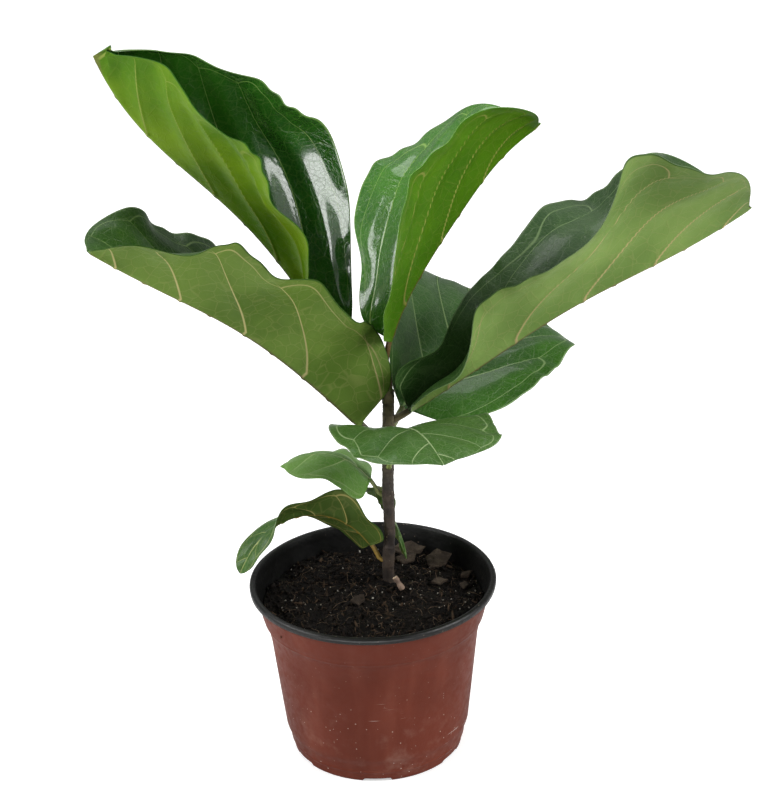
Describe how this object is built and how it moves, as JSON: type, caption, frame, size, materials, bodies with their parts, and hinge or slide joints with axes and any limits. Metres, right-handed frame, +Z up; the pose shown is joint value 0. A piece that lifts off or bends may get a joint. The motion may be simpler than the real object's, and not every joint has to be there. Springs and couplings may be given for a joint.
{
  "type": "potted fiddle leaf fig",
  "caption": "Young fiddle leaf fig with one woody stem and large, folded, rippled leaves, in a round tapered nursery pot with a rolled rim.",
  "frame": {"origin": "centre of the pot's flat foot, on the surface it stands on", "axes": "+Z up along the pot's axis, -Y towards the side where the small level leaf reaches out, +X to the right of it as seen from -Y"},
  "size_m": [0.4147, 0.2719, 0.4781],
  "materials": {
    "pot": "satin moulded plastic, terracotta outside and black inside and on the rim",
    "soil": "loose dark potting mix",
    "bark": "rough young bark",
    "sheath": "dry papery sheath",
    "cut_wood": "dry cut wood",
    "chip": "rough bark chip",
    "leaf": "waxy and glossy above, matt and paler below"
  },
  "bodies": {
    "root": {"pot": "pot", "soil": "soil", "stem": "bark", "bud_sheath": "sheath", "pruned_stub": "cut_wood", "bark_chip_1": "chip", "bark_chip_2": "chip", "bark_chip_3": "chip", "bark_chip_4": "chip", "bark_chip_5": "chip", "bark_chip_6": "chip", "bark_chip_7": "chip", "leaf_top_left": "leaf", "leaf_centre": "leaf", "leaf_left": "leaf", "leaf_right": "leaf", "leaf_back_right": "leaf", "leaf_front": "leaf", "leaf_lower_left": "leaf", "leaf_arching": "leaf", "leaf_low_back": "leaf"}
  },
  "joints": []
}
